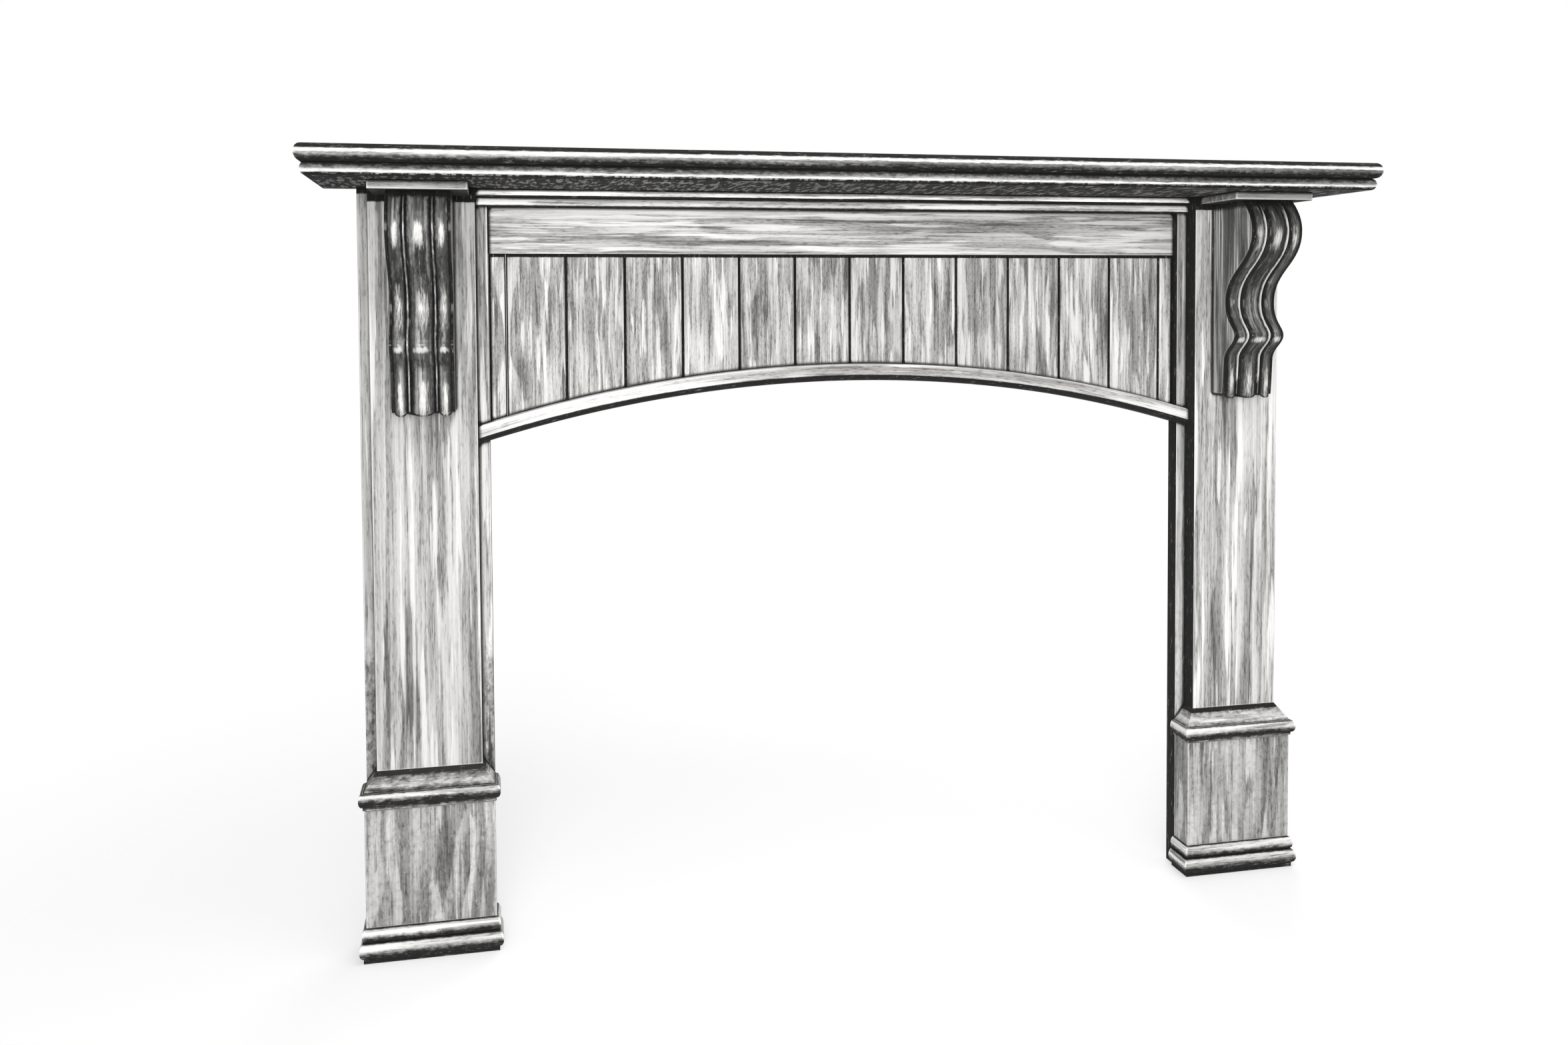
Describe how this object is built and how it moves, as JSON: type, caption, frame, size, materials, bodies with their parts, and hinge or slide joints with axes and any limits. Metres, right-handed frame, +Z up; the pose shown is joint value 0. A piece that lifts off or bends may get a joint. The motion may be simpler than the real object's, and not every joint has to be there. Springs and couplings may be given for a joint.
{
  "type": "fireplace mantelpiece",
  "caption": "Timber fireplace mantelpiece: a moulded shelf on pilasters with carved reeded brackets and moulded plinths, and a boarded frieze over a low arch.",
  "frame": {"origin": "on the floor, at the middle of the box around the part", "axes": "+X along the shelf, to the right as seen from the room; +Y into the wall; +Z up"},
  "size_m": [1.684, 0.23, 1.22],
  "materials": {
    "oak_boards": "planed oak, limed and greyed, almost matt, with open grain",
    "oak_mouldings": "limed oak mouldings, rubbed pale on the crests and dark in the hollows",
    "oak_shelf": "greyed oak shelf, waxed to a low shine",
    "oak_carving": "carved oak, fumed dark and polished, rubbed pale where it swells"
  },
  "bodies": {
    "root": {"left_stile": "oak_boards", "left_base_moulding": "oak_mouldings", "left_plinth": "oak_boards", "left_cap_moulding": "oak_mouldings", "left_pilaster": "oak_boards", "left_bracket": "oak_carving", "left_bracket_plate": "oak_mouldings", "right_stile": "oak_boards", "right_base_moulding": "oak_mouldings", "right_plinth": "oak_boards", "right_cap_moulding": "oak_mouldings", "right_pilaster": "oak_boards", "right_bracket": "oak_carving", "right_bracket_plate": "oak_mouldings", "shelf_top_board": "oak_shelf", "shelf_bed_board": "oak_shelf", "upper_strip": "oak_mouldings", "lower_strip": "oak_mouldings", "frieze_board": "oak_boards", "plank_01": "oak_boards", "plank_02": "oak_boards", "plank_03": "oak_boards", "plank_04": "oak_boards", "plank_05": "oak_boards", "plank_06": "oak_boards", "plank_07": "oak_boards", "plank_08": "oak_boards", "plank_09": "oak_boards", "plank_10": "oak_boards", "plank_11": "oak_boards", "plank_12": "oak_boards", "plank_13": "oak_boards", "plank_14": "oak_boards", "arch_rib": "oak_mouldings"}
  },
  "joints": []
}
